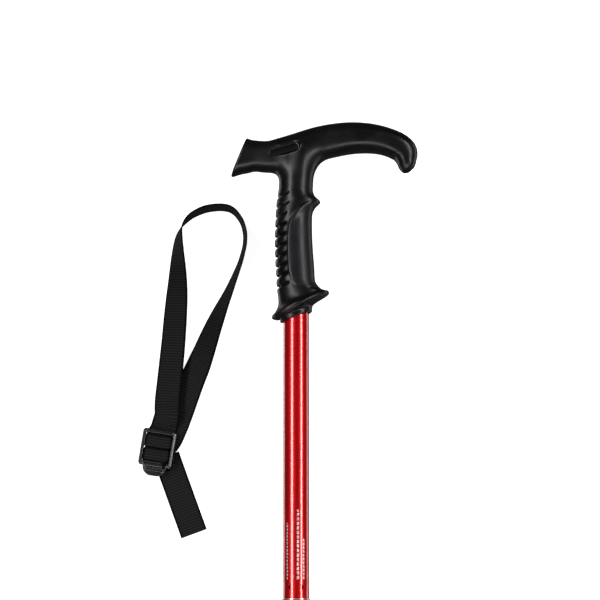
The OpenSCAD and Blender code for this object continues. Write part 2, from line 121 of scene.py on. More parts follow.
class Tree:
    """Short names for building a material."""

    SOCKETS = {"color": "Base Color", "specular": "Specular IOR Level", "coat_ior": "Coat IOR"}

    def __init__(self, name):
        self.mat = bpy.data.materials.new(name)
        self.mat.use_nodes = True
        self.t = self.mat.node_tree
        self.bsdf = self.t.nodes["Principled BSDF"]
        self.coord = self.t.nodes.new("ShaderNodeTexCoord").outputs["Object"]

    def put(self, socket, value):
        if isinstance(value, bpy.types.NodeSocket):
            self.t.links.new(value, socket)
        elif value is not None:
            socket.default_value = value

    def math(self, op, a, b=None, c=None, clamp=False):
        n = self.t.nodes.new("ShaderNodeMath")
        n.operation = op
        n.use_clamp = clamp
        for i, v in enumerate((a, b, c)):
            self.put(n.inputs[i], v)
        return n.outputs[0]

    def scale(self, vec):
        n = self.t.nodes.new("ShaderNodeVectorMath")
        n.operation = "MULTIPLY"
        self.t.links.new(self.coord, n.inputs[0])
        n.inputs[1].default_value = vec
        return n.outputs[0]

    def noise(self, scale, detail, rough, vec=None):
        n = self.t.nodes.new("ShaderNodeTexNoise")
        n.inputs["Scale"].default_value = scale
        n.inputs["Detail"].default_value = detail
        n.inputs["Roughness"].default_value = rough
        self.t.links.new(vec or self.coord, n.inputs["Vector"])
        return n.outputs["Fac"]

    def spread(self, value, lo0, hi0, lo1, hi1):
        n = self.t.nodes.new("ShaderNodeMapRange")
        for k, v in (("Value", value), ("From Min", lo0), ("From Max", hi0),
                     ("To Min", lo1), ("To Max", hi1)):
            self.put(n.inputs[k], v)
        return n.outputs["Result"]

    def mix(self, fac, a, b):
        n = self.t.nodes.new("ShaderNodeMix")
        n.data_type = "RGBA"
        self.put(n.inputs[0], fac)
        for i, v in ((6, a), (7, b)):
            self.put(n.inputs[i], v if isinstance(v, bpy.types.NodeSocket) else (*v, 1))
        return n.outputs[2]

    def bump(self, height, strength, distance, normal=None):
        n = self.t.nodes.new("ShaderNodeBump")
        n.inputs["Strength"].default_value = strength
        n.inputs["Distance"].default_value = distance
        self.t.links.new(height, n.inputs["Height"])
        if normal is not None:
            self.t.links.new(normal, n.inputs["Normal"])
        return n.outputs[0]

    def set(self, **inputs):
        for k, v in inputs.items():
            name = self.SOCKETS.get(k, k.replace("_", " ").title())
            if isinstance(v, tuple) and len(v) == 3:
                v = (*v, 1)
            self.put(self.bsdf.inputs[name], v)
        return self


def xyz(tree):
    n = tree.t.nodes.new("ShaderNodeSeparateXYZ")
    tree.t.links.new(tree.coord, n.inputs[0])
    return n.outputs


# ---------------------------------------------------------------- materials


def moulded(name, colour, rough, grain, grain_scale=2200.0, sheen=0.0, panel=None, line=False,
            shine=0.3):
    """Moulded plastic or rubber: fine grain, slightly uneven gloss and colour, faint scuffs."""
    t = Tree(name)
    cloud = t.noise(60, 4, 0.6)
    fine = t.noise(grain_scale, 2, 0.5)
    scuff = t.noise(420, 6, 0.7, vec=t.scale((1.0, 0.25, 1.0)))
    light = tuple(min(1, c * 1.5 + 0.0008) for c in colour)
    base = t.mix(t.spread(cloud, 0.35, 0.7, 0, 0.6), colour, light)
    base = t.mix(t.spread(scuff, 0.62, 0.8, 0, 0.30), base, tuple(c * 2 + 0.002 for c in colour))
    r = t.spread(cloud, 0.3, 0.7, rough - 0.05, rough + 0.07)
    if panel:
        attribute = t.t.nodes.new("ShaderNodeAttribute")
        attribute.attribute_name = "panel"
        mask = attribute.outputs["Fac"]
        base = t.mix(mask, base, panel)
        r = t.math("ADD", r, t.math("MULTIPLY", mask, 0.05))
    n = t.bump(fine, grain, 0.00008)
    if line:
        z = xyz(t)[2]
        seam = t.math("LESS_THAN", t.math("ABSOLUTE", z), 0.00016)
        n = t.bump(seam, 0.35, 0.00012, n)
    t.set(color=base, roughness=r, normal=n, specular=shine)
    if sheen:
        t.set(sheen_weight=sheen, sheen_roughness=0.5)
    return t.mat


def metal(name, colour, rough, drawn=True):
    """Metal with fine drawing lines along the shaft, and a little uneven finish."""
    t = Tree(name)
    long = t.noise(900, 3, 0.6, vec=t.scale((1.0, 0.02, 1.0) if drawn else (1.0, 1.0, 1.0)))
    cloud = t.noise(35, 3, 0.5)
    dark = tuple(c * 0.80 for c in colour)
    t.set(color=t.mix(t.spread(t.math("ADD", long, cloud), 0.7, 1.3, 0, 1), dark, colour),
          metallic=1.0, roughness=t.spread(long, 0.3, 0.7, rough - 0.05, rough + 0.06),
          normal=t.bump(long, 0.5, 0.00004))
    return t.mat


def red_tube(name, marks):
    """Red anodised aluminium. With marks, three columns of plain silver dashes and painted shadows in six
    dimples near the tube's lower end; without them, a bare upper end."""
    t = Tree(name)
    x, y, z = xyz(t)
    long = t.noise(1100, 3, 0.6, vec=t.scale((1.0, 0.015, 1.0)))
    cloud = t.noise(22, 3, 0.5)
    red = t.mix(t.spread(t.math("ADD", long, cloud), 0.7, 1.35, 0, 1),
                (0.46, 0.0005, 0.001), (0.58, 0.001, 0.002))
    metallic, rough = 0.82, t.spread(long, 0.3, 0.7, 0.24, 0.32)
    if marks:
        # angle round the tube, in degrees from the side that faces up
        turn = t.math("MULTIPLY", t.math("ARCTAN2", x, z), 180 / math.pi)
        ink = None
        # centre and half width in degrees, lower and upper end, pitch, share of it left bare
        for centre, half, y0, y1, pitch, gap in ((-43, 3.6, 0.4424, 0.4822, 0.0024, 0.36),
                                                 (8, 4.4, 0.4424, 0.4911, 0.0031, 0.30),
                                                 (36, 3.6, 0.4424, 0.4714, 0.0026, 0.40)):
            side = t.math("LESS_THAN", t.math("ABSOLUTE", t.math("SUBTRACT", turn, centre)), half)
            low = t.math("GREATER_THAN", y, y0)
            high = t.math("LESS_THAN", y, y1)
            count = t.math("DIVIDE", t.math("SUBTRACT", y, y0), pitch)
            step = t.math("GREATER_THAN", t.math("FRACT", count), gap)
            part = t.math("MULTIPLY", t.math("MULTIPLY", side, step), t.math("MULTIPLY", low, high))
            ink = part if ink is None else t.math("MAXIMUM", ink, part)
        wear = t.spread(t.noise(1500, 3, 0.6), 0.42, 0.50, 0.25, 1)
        ink = t.math("MULTIPLY", ink, wear)
        red = t.mix(ink, red, (0.72, 0.70, 0.70))
        rough = t.math("ADD", rough, t.math("MULTIPLY", ink, 0.2))
        # painted shadow in the six punched dimples: a near-black spot at each
        sixth = t.math("SUBTRACT", t.math("MODULO", t.math("ADD", turn, 360), 60), 30)
        dimple_shade = t.math("ADD", t.math("POWER", t.math("DIVIDE", sixth, 6.5), 2),
                      t.math("POWER", t.math("DIVIDE", t.math("SUBTRACT", y, CRIMP_Y * MM), 0.0012), 2))
        red = t.mix(t.spread(dimple_shade, 0.6, 1.1, 0.96, 0), red, (0.004, 0.0, 0.0))
    else:
        red = t.mix(t.math("GREATER_THAN", y, MAIN_TOP * MM - 0.0005), red, (0.52, 0.47, 0.43))
    t.set(color=red, metallic=metallic, roughness=rough, normal=t.bump(long, 0.12, 0.00003),
          coat_weight=1.0, coat_roughness=0.08, coat_ior=1.55,
          sheen_weight=0.75, sheen_roughness=0.25, sheen_tint=(1.0, 0.06, 0.05))
    return t.mat


def webbing(name):
    """Black polypropylene webbing: cross ribs, yarn twist, darker along both edges, from the strap's UV map.
    """
    t = Tree(name)
    uv = t.t.nodes.new("ShaderNodeUVMap")
    uv.uv_map = "web"
    sep = t.t.nodes.new("ShaderNodeSeparateXYZ")
    t.t.links.new(uv.outputs[0], sep.inputs[0])
    u, v = sep.outputs[0], sep.outputs[1]     # across 0..1, along in mm/100
    across = t.math("ABSOLUTE", t.math("SUBTRACT", t.math("MULTIPLY", u, 2), 1))
    edge = t.spread(across, 0.80, 0.90, 0, 1)
    yarn = t.math("SINE", t.math("ADD", t.math("MULTIPLY", v, 100 * 2 * math.pi / 0.62),
                                 t.math("MULTIPLY", u, 2 * math.pi * 26)))
    column = t.math("SINE", t.math("MULTIPLY", u, 2 * math.pi * WARPS))
    rib = t.math("SINE", t.math("ADD", t.math("MULTIPLY", v, 100 * 2 * math.pi / RIB_PITCH),
                                t.math("MULTIPLY", column, RIB_SWAY)))
    fuzz = t.noise(1800, 4, 0.7)
    light = t.math("ADD", t.math("MULTIPLY", rib, 0.30), t.math("MULTIPLY", yarn, 0.14))
    light = t.math("ADD", t.math("ADD", light, t.math("MULTIPLY", fuzz, 0.5)), 0.22, clamp=True)
    base = t.mix(light, (0.0004, 0.0004, 0.0005), (0.0115, 0.0115, 0.0120))
    # colour darker along both edges of the webbing
    base = t.mix(edge, base, (0.0006, 0.0006, 0.0006))
    n = t.bump(t.math("ADD", t.math("MULTIPLY", yarn, 0.5), fuzz), 0.5, 0.00012)
    t.set(color=base, roughness=t.spread(fuzz, 0.3, 0.7, 0.62, 0.8), normal=n, specular=0.03)
    return t.mat


BLACK = (0.0014, 0.0014, 0.0016)
mats = {
    "grip": moulded("grip_plastic", BLACK, 0.31, grain=0.35, panel=(0.0032, 0.0032, 0.0042),
                    line=True, shine=0.21),
    "red": red_tube("red_anodised", False),
    "red_marked": red_tube("red_anodised_marked", True),
    "alu": metal("bare_aluminium", (0.72, 0.73, 0.75), 0.30),
    "steel": metal("steel", (0.60, 0.60, 0.62), 0.26, drawn=False),
    "carbide": metal("carbide", (0.28, 0.29, 0.31), 0.38, drawn=False),
    "plastic": moulded("black_plastic", (0.004, 0.004, 0.0045), 0.38, grain=0.4),
    "nylon": moulded("pale_plastic", (0.50, 0.47, 0.40), 0.45, grain=0.3),
    "rubber": moulded("black_rubber", (0.006, 0.006, 0.006), 0.62, grain=0.8, grain_scale=1400, sheen=0.05),
    "buckle": moulded("buckle_plastic", (0.003, 0.003, 0.0033), 0.27, grain=0.3, shine=0.5),
    "web": webbing("webbing"),
}
LOOKS = {
    "handle_grip": "grip", "upper_tube": "red_marked", "main_tube": "red", "middle_tube": "alu",
    "lower_tube": "alu", "shock_plug": "plastic", "spring_seat": "plastic", "shock_rod": "steel",
    "shock_washer": "steel", "shock_nut": "steel", "shock_spring": "steel", "main_collar": "plastic",
    "middle_collar": "plastic", "upper_expander": "nylon", "lower_expander": "nylon",
    "upper_cone_nut": "plastic", "lower_cone_nut": "plastic", "upper_lock_screw": "steel",
    "lower_lock_screw": "steel", "tip_ferrule": "plastic", "carbide_tip": "carbide",
    "mud_basket": "plastic", "rubber_foot": "rubber", "wrist_strap": "web", "strap_buckle": "buckle",
}
for name, look in LOOKS.items():
    data = nodes[name].data
    data.materials.clear()
    data.materials.append(mats[look])

# ---------------------------------------------------------------- meshing


def catmull(rows, s):
    """Smooth curve through rows at fractional indices s."""
    rows = np.asarray(rows, float)
    n = len(rows) - 1
    i = np.clip(np.floor(s).astype(int), 0, n - 1)
    t = (s - i)[:, None]
    a, b, c, d = rows[np.maximum(i - 1, 0)], rows[i], rows[i + 1], rows[np.minimum(i + 2, n)]
    return 0.5 * (2 * b + (c - a) * t + (2 * a - 5 * b + 4 * c - d) * t ** 2
                  + (3 * b - a - 3 * c + d) * t ** 3)


def smin(a, b, k):
    h = np.clip(0.5 + 0.5 * (b - a) / k, 0, 1)
    return b + (a - b) * h - k * h * (1 - h)


def smax(a, b, k):
    return -smin(-a, -b, k)


def step01(x):
    x = np.clip(x, 0, 1)
    return x * x * (3 - 2 * x)


def surface_nets(f, lo, h):
    """Quads of the zero surface of f, sampled from lo with spacing h; f is negative inside."""
    count = np.zeros(tuple(n - 1 for n in f.shape), np.float32)
    total = np.zeros((*count.shape, 3), np.float32)
    inside = f < 0
    index = np.indices(count.shape, np.float32)
    crossings = []
    for axis in range(3):
        first = [slice(None)] * 3
        second = [slice(None)] * 3
        first[axis], second[axis] = slice(None, -1), slice(1, None)
        a, b = f[tuple(first)], f[tuple(second)]
        m = inside[tuple(first)] != inside[tuple(second)]
        t = np.where(m, a / np.where(m, a - b, 1), 0).astype(np.float32)
        crossings.append((m, inside[tuple(first)]))
        o1, o2 = [x for x in range(3) if x != axis]
        for d1 in (0, 1):
            for d2 in (0, 1):
                pick = [slice(None)] * 3
                pick[o1] = slice(d1, d1 + count.shape[o1])
                pick[o2] = slice(d2, d2 + count.shape[o2])
                mm = m[tuple(pick)]
                count += mm
                total[..., axis] += np.where(mm, index[axis] + t[tuple(pick)], 0)
                total[..., o1] += np.where(mm, index[o1] + d1, 0)
                total[..., o2] += np.where(mm, index[o2] + d2, 0)
    used = count > 0
    number = np.full(count.shape, -1, np.int64)
    number[used] = np.arange(used.sum())
    verts = total[used] / count[used][:, None] * h + np.asarray(lo, np.float32)
    quads = []
    for axis in range(3):
        m, start_inside = crossings[axis]
        o1, o2 = (axis + 1) % 3, (axis + 2) % 3
        ijk = np.argwhere(m)
        ok = np.ones(len(ijk), bool)
        for o in (o1, o2):
            ok &= (ijk[:, o] > 0) & (ijk[:, o] < f.shape[o] - 1)
        ijk = ijk[ok]
        corner = []
        for d1, d2 in ((-1, -1), (0, -1), (0, 0), (-1, 0)):
            c = ijk.copy()
            c[:, o1] += d1
            c[:, o2] += d2
            corner.append(number[c[:, 0], c[:, 1], c[:, 2]])
        q = np.stack(corner, 1)
        flip = ~start_inside[ijk[:, 0], ijk[:, 1], ijk[:, 2]]
        q[flip] = q[flip][:, ::-1]
        quads.append(q)
    return verts, np.concatenate(quads)


def sample(f, p, lo, h):
    """Trilinear value of the grid f at points p."""
    g = (p - lo) / h
    g = np.clip(g, 0, np.array(f.shape) - 1.001)
    i = g.astype(int)
    t = g - i
    out = np.zeros(len(p))
    for dx in (0, 1):
        for dy in (0, 1):
            for dz in (0, 1):
                w = ((t[:, 0] if dx else 1 - t[:, 0]) * (t[:, 1] if dy else 1 - t[:, 1])
                     * (t[:, 2] if dz else 1 - t[:, 2]))
                out += w * f[i[:, 0] + dx, i[:, 1] + dy, i[:, 2] + dz]
    return out


def settle(verts, f, lo, h):
    """Moves the points onto the zero surface."""
    p = verts.astype(float)
    lo = np.asarray(lo, float)
    for _ in range(3):
        value = sample(f, p, lo, h)
        grad = np.stack([(sample(f, p + e, lo, h) - sample(f, p - e, lo, h)) / (2 * h * 0.5)
                         for e in np.eye(3) * h * 0.5], 1)
        size = (grad ** 2).sum(1) + 1e-6
        move = -(value / size)[:, None] * grad
        length = np.linalg.norm(move, axis=1)[:, None]
        p += move * np.minimum(1, 0.4 * h / np.maximum(length, 1e-9))
    return p


def new_mesh(name, verts, faces, material):
    data = bpy.data.meshes.new(name)
    data.from_pydata([tuple(v) for v in verts], [], [tuple(int(i) for i in f) for f in faces])
    data.validate()
    data.materials.append(material)
    data.shade_smooth()
    obj = bpy.data.objects.new(name, data)
    scene.collection.objects.link(obj)
    return obj


# ---------------------------------------------------------------- handle

# middle line of the arm: x, height, half height, half depth
ARM = [(-52, 119.9, 20.6, 13.8), (-46, 118.2, 17.4, 13.6), (-40, 117.4, 14.5, 13.3),
       (-35, 116.9, 12.4, 13.0), (-28.9, 116.8, 10.9, 12.9), (-18.9, 116.3, 11.2, 13.3),
       (-8.8, 118.1, 11.9, 14.4), (2.7, 121.3, 12.2, 15.2), (14.3, 125.3, 11.8, 15.8),
       (25.8, 127.9, 11.6, 16.0), (38.7, 129.7, 11.0, 16.0), (51.7, 129.6, 10.3, 15.4),
       (62.5, 127.7, 9.7, 14.4), (71.9, 124.0, 9.6, 13.3), (76.9, 119.2, 9.5, 12.0),
       (78.2, 112.8, 7.3, 9.8), (77.7, 108.3, 5.3, 7.2), (77.3, 105.3, 2.6, 3.6), (77.2, 104.5, 0.5, 0.7)]
# column: height, left side, right side, half depth
COLUMN = [(140, -12.2, 12.1, 12.4), (99.4, -12.2, 12.1, 12.6), (92, -12.6, 11.9, 12.8),
          (87.5, -13.2, 13.4, 13.1), (83.5, -13.9, 17.2, 13.3), (80.5, -14.2, 14.5, 13.5),
          (78, -14.4, 12.8, 13.6), (74, -14.6, 11.5, 13.8), (66, -14.9, 11.3, 14.1),
          (56, -15.1, 11.5, 14.3), (46, -14.9, 12.1, 14.3), (37, -14.5, 12.8, 14.2),
          (29, -13.9, 13.2, 14.0), (25.5, -13.8, 14.0, 14.0), (22.8, -13.7, 15.9, 14.0),
          (20.6, -13.6, 18.5, 14.1), (18.8, -13.3, 22.0, 14.2), (13, -12.6, 24, 14.2),
          (6, -12.4, 24, 14.5), (-8, -12.4, 24, 14.5)]
# edge of the smooth finger panel on the front, from the spur round to the guard: x, height
PANEL = [(24, 82.8), (14.8, 81.2), (10.6, 81.4), (7.1, 80.2), (3.0, 77.5), (-0.4, 73.0), (-3.4, 68.5),
         (-5.2, 63.0), (-5.9, 55.8), (-6.0, 48), (-5.9, 41.5), (-5.2, 33.1), (-3.2, 25.6), (-0.4, 22.4),
         (8, 20.5), (24, 24)]
SLOT = (-8.9, 118.7, 16.0)    # strap slot: x, height, slope
GUARD = (2.9, 9.9, 25.0)     # hand guard: x, height, slope
GROOVE_TOP, GROOVE_PITCH = 85.9, 7.15    # thumb grooves: height of the top one, pitch


def polyline_distance(points, px, pv):
    """Distance from the closed or open outline, and whether inside it when closed by its ends."""
    best = np.full(px.shape, 1e9)
    n = len(points)
    inside = np.zeros(px.shape, bool)
    for i in range(n):
        (ax, av), (bx, bv) = points[i], points[(i + 1) % n]
        if i < n - 1:
            dx, dv = bx - ax, bv - av
            t = np.clip(((px - ax) * dx + (pv - av) * dv) / (dx ** 2 + dv ** 2), 0, 1)
            best = np.minimum(best, np.hypot(px - ax - t * dx, pv - av - t * dv))
        cross = (av > pv) != (bv > pv)
        xs = ax + (pv - av) / np.where(bv == av, 1e-9, bv - av) * (bx - ax)
        inside ^= cross & (px < xs)
    return best, inside


def handle_field(h):
    lo = np.array([-49.0, -6.0, -19.8])
    hi = np.array([91.0, 143.5, 19.8])
    shape = np.ceil((hi - lo) / h).astype(int) + 1
    gx, gv, gz = (lo[i] + h * np.arange(shape[i]) for i in range(3))
    X, V = np.meshgrid(gx, gv, indexing="ij")
    z = gz[None, None, :]
    az = np.abs(z)

    # arm: nearest place on its middle line
    rows = catmull(ARM, np.linspace(0, len(ARM) - 1, 700))
    c = rows[:, :2]
    tan = np.gradient(c, axis=0)
    seg = np.linalg.norm(tan, axis=1)
    tan /= seg[:, None]
    near = np.empty(X.shape, int)
    for i in range(X.shape[0]):
        d2 = (X[i][:, None] - c[None, :, 0]) ** 2 + (V[i][:, None] - c[None, :, 1]) ** 2
        near[i] = d2.argmin(1)
    along = ((X - c[near, 0]) * tan[near, 0] + (V - c[near, 1]) * tan[near, 1]) / seg[near]
    s = np.clip(near + along, 0, len(rows) - 1.001)
    i0 = s.astype(int)
    t = (s - i0)[..., None]
    at = rows[i0] * (1 - t) + rows[i0 + 1] * t
    side = np.hypot(X - at[..., 0], V - at[..., 1])[..., None]
    half, deep = at[..., 2][..., None], at[..., 3][..., None]
    e = 2.35
    F = ((side / half) ** e + (az / deep) ** e) ** (1 / e)
    r = np.sqrt(side ** 2 + z ** 2)
    arm = (r - r / np.maximum(F, 1e-4)).astype(np.float32)
    # softer inside the hook's bend
    soft = arm
    for axis in (0, 1, 2) * 5:
        soft = (np.roll(soft, 1, axis) + 2 * soft + np.roll(soft, -1, axis)) / 4
    here = np.clip(1.4 - np.hypot(X - 69.0, V - 110.5) / 7.5, 0, 1)[..., None]
    arm = (arm + (soft - arm) * step01(here)).astype(np.float32)
    # its left end: a leaning face, slightly domed
    lean = math.radians(22.4)
    out = -(X + 40.5) * math.cos(lean) + (V - 117.35) * math.sin(lean)
    up = (X + 40.5) * math.sin(lean) + (V - 117.35) * math.cos(lean)
    face = out[..., None] + 0.25 * np.minimum((up[..., None] / 14) ** 2, 2) + 0.9 * (z / 13) ** 2
    arm = smax(arm, face.astype(np.float32), 1.5)

    # column
    table = np.array(COLUMN)[::-1]
    fine = catmull(table, np.linspace(0, len(table) - 1, 900))
    left, right, depth = (np.interp(gv, fine[:, 0], fine[:, k])[None, :] for k in (1, 2, 3))
    mid, wide = (left + right) / 2, (right - left) / 2
    a = (X - mid) / wide
    e = 2.12
    F = (np.abs(a[..., None]) ** e + (az / depth[..., None]) ** e) ** (1 / e)
    r = np.sqrt((X - mid)[..., None] ** 2 + z ** 2)
    column = (r - r / np.maximum(F, 1e-4)).astype(np.float32)

    # thumb grooves on the left, wrapping towards the front and back
    turn = np.degrees(np.arctan2(az / depth[..., None], -a[..., None]))
    share = 1 - step01((turn - 56) / 15)
    tilted = V - 0.30 * (X + 14.5)
    cut = np.zeros_like(X)
    for k in range(10):
        size = (0.8, 1.1, 1.4)[k] if k < 3 else 2.0 if k < 9 else 1.6
        u = np.abs(tilted - (GROOVE_TOP - GROOVE_PITCH * k)) / 1.35
        cut = np.maximum(cut, size * (1 - step01((u - 0.2) / 0.8)))
    ripple = 0.2 * np.cos((tilted - GROOVE_TOP) * 2 * math.pi / GROOVE_PITCH + math.pi)
    pads = np.where((tilted > 19) & (tilted < 68), ripple, 0)
    column += ((cut - pads)[..., None] * share).astype(np.float32)

    # relief of the finger panel on the front and back, and its crest
    dist, within = polyline_distance(PANEL, X, V)
    crest_height = (0.12 + 0.7 * step01((V - 58) / 13)) * step01((V - 20) / 14)
    crest = crest_height * np.exp(-(np.where(within, dist / 2.2, dist / 1.0)) ** 2)
    raised = 0.38 * step01(np.where(within, dist, -dist) / 1.1 + 0.5)
    front = step01((az / depth[..., None] - 0.18) / 0.5)
    column -= ((crest + raised)[..., None] * front).astype(np.float32)

    # hand guard
    gcx, gcv, slope = GUARD
    ca, sa = math.cos(math.radians(slope)), math.sin(math.radians(slope))
    u = ((X - gcx) * ca + (V - gcv) * sa)[..., None]
    w = (-(X - gcx) * sa + (V - gcv) * ca)[..., None]
    E = np.sqrt((u / 22.3) ** 2 + (z / 18.0) ** 2)
    rim = np.sqrt(u ** 2 + z ** 2) * (1 - 1 / np.maximum(E, 1e-4))
    inner = np.maximum(-rim, 0)
    top = w - 0.9 - 0.20 * inner
    under = -w - 0.9 - 0.22 * inner
    guard = smax(smax(rim, top, 1.6), under, 1.6).astype(np.float32)
    column = np.maximum(column, np.maximum(-w - 1.0, (V - 117.0)[..., None]).astype(np.float32))
    lower = smin(column, guard, (6.5 - 4.0 * step01(X / 14))[..., None].astype(np.float32))

    # sleeve round the tube
    tube = np.sqrt(X[..., None] ** 2 + z ** 2)
    low = math.radians(19)
    plane = (X * math.sin(low) - (V - 0.7) * math.cos(low))[..., None]
    sleeve = smax(smax(tube - 11.3, plane, 1.0), V[..., None] - 14, 1.0).astype(np.float32)
    lower = smin(lower, sleeve, 1.6)

    f = smin(arm, lower, (8.0 + 6.0 * step01((X + 6) / 12))[..., None].astype(np.float32))

    # strap slot with a shallow rounded recess
    sx, sv, lean = SLOT
    ca, sa = math.cos(math.radians(lean)), math.sin(math.radians(lean))
    u = (X - sx) * ca + (V - sv) * sa
    w = -(X - sx) * sa + (V - sv) * ca
    hole = np.hypot(np.maximum(np.abs(u) - 8, 0), w) - 2.2
    f = smax(f, -hole[..., None].astype(np.float32), 0.9)
    recess = np.hypot(np.maximum(np.abs(u) - 8.3, 0), w) - 3.5
    f = smax(f, -smax(recess[..., None], (13.7 - az), 0.8).astype(np.float32), 0.8)

    # bore for the tube
    bore = np.maximum(tube - 9.03, V[..., None] - 95.3)
    f = np.maximum(f, -bore.astype(np.float32))
    return f.astype(np.float32), lo


def build_handle():
    h = 0.62
    f, lo = handle_field(h)
    verts, quads = surface_nets(f, lo, h)
    verts = settle(verts, f, lo, h)
    dist, within = polyline_distance(PANEL, verts[:, 0], verts[:, 1])
    mask = step01(np.where(within, dist, -dist) / 1.0 + 0.5) * (verts[:, 1] < 90)
    verts = verts + np.array([0, HANDLE_Y, 0])
    obj = new_mesh("handle_moulding", verts * MM, quads, mats["grip"])
    attribute = obj.data.attributes.new("panel", "FLOAT", "POINT")
    attribute.data.foreach_set("value", mask.astype(np.float32))
    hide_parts("handle_grip")
    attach(obj, "handle")
    return obj


handle = build_handle()

# ---------------------------------------------------------------- wrist strap

WEB_W, WEB_T = 19.0, 1.1
BUCKLE = (-95.7, HANDLE_Y - 77.5, -9)   # x, y, turn
# along the buckle, to its right, height, turn of the width
FIXED_END = [(5.0, 0, 3.25, 0), (9.0, 0, 3.25, 0), (11.6, 0, 3.5, 0), (12.25, 0, 4.9, 0), (11.2, 0, 6.45, 0),
             (8.0, 0, 6.75, 0), (5.4, 0, 6.45, 0), (4.3, 0, 4.9, 0), (3.2, 0.15, 3.35, 0), (1.6, 0.9, 2.8, 0),
             (0, 1.6, 2.6, -1), (-4, 2.4, 2.8, 0)]
FREE_END = [(-1, 8.4, 1.8, -14), (4, 7.1, 1.8, -16), (8.6, 4.9, 1.85, -15), (11.4, 2.0, 1.9, -8),
            (13.2, 0.3, 2.6, -1), (13.85, 0, 3.9, 0), (14.0, 0, 5.3, 0), (15.2, 0, 6.55, 0),
            (18.0, 0, 6.75, 0), (20.6, 0, 6.45, 0), (21.8, 0, 5.0, 0), (21.8, 0.4, 3.2, 2),
            (21.2, 2.0, 2.05, 9), (19.8, 4.6, 1.95, 18), (18.5, 6.6, 1.85, 25), (17.9, 7.1, 1.3, 28),
            (18.6, 7.5, 0.7, 29), (22.0, 9.3, 0.6, 29.2), (40.0, 19.3, 0.6, 29.2),
            (68.1, 35.0, 0.6, 29.2)]
# x, y from the handle's lower end, turn and lift of the width
LOOP = [(-91.2, -67, -7, 17), (-90.9, -56.4, -7, 15), (-89.6, -42, -7, 19), (-88.3, -28.2, -6, 21),
        (-87, -13.5, -5, 24), (-86, 0.8, -4, 27), (-85, 15.2, -3, 33), (-84.4, 26.4, -2, 41),
        (-84.2, 37.4, -2, 50), (-84.2, 46.1, -2, 58), (-84, 54.7, -4, 66), (-83.4, 60.8, -8, 73),
        (-82.1, 65.9, -10, 81), (-80.1, 69.6, -10, 87), (-77.5, 72.7, 130, 89), (-74.5, 75.3, 128, 87),
        (-71.1, 77.3, 118, 86), (-67.6, 78.9, 112, 85), (-63.9, 80.1, 105, 84.5), (-60.1, 80.8, 98, 84.5),
        (-56, 81.2, 91, 84.5), (-51.7, 81.1, 82, 84.5), (-47.3, 80.1, 66, 84.5), (-43.7, 77.7, 46, 84.5),
        (-40.8, 74.2, 35, 84.5), (-38.5, 70.2, 23, 84), (-37.2, 66, 13, 83), (-36.4, 61.7, 3, 82),
        (-36.4, 57.6, -5, 81), (-36.8, 53.4, -10, 80), (-37.9, 48.5, -14, 79), (-39.5, 42.6, -19, 77.5),
        (-42.2, 35.1, -22, 74.5), (-45.2, 27.5, -23, 71), (-48.3, 19.9, -23, 66), (-51.7, 12.3, -24, 60),
        (-55.6, 3.3, -23, 52), (-59.2, -5.5, -22, 45), (-62.5, -14.1, -21, 38), (-65.8, -23, -20, 31),
        (-69.4, -32, -20, 22), (-74.4, -43.5, -20, 13), (-78.1, -53.4, -20, 7), (-81.6, -63.3, -20, 4),
        (-85, -72.6, -22, 2)]


def cosd(a):
    return math.cos(math.radians(a))


def sind(a):
    return math.sin(math.radians(a))


def in_buckle(p, q, h):
    bx, by, turn = BUCKLE
    return (bx + q * cosd(turn) + p * sind(turn), by + q * sind(turn) - p * cosd(turn), FLOOR_Z + h)


def strap_stations():
    rows = []
    turn = BUCKLE[2]
    for s in FIXED_END:
        rows.append((*in_buckle(*s[:3]), cosd(turn + s[3]), sind(turn + s[3]), 0))
    n = len(LOOP)
    for i, s in enumerate(LOOP):
        h = WEB_T / 2 + 0.05 + WEB_W / 2 * sind(s[3])
        h += 2.2 * (5 - i) / 5 if i < 5 else 0
        h += 0.35 * (i - n + 4) if i > n - 4 else 0
        rows.append((s[0], HANDLE_Y + s[1], FLOOR_Z + h,
                     cosd(s[2]) * cosd(s[3]), sind(s[2]) * cosd(s[3]), sind(s[3])))
    for s in FREE_END:
        rows.append((*in_buckle(*s[:3]), cosd(turn + s[3]), sind(turn + s[3]), 0))
    return np.array(rows)


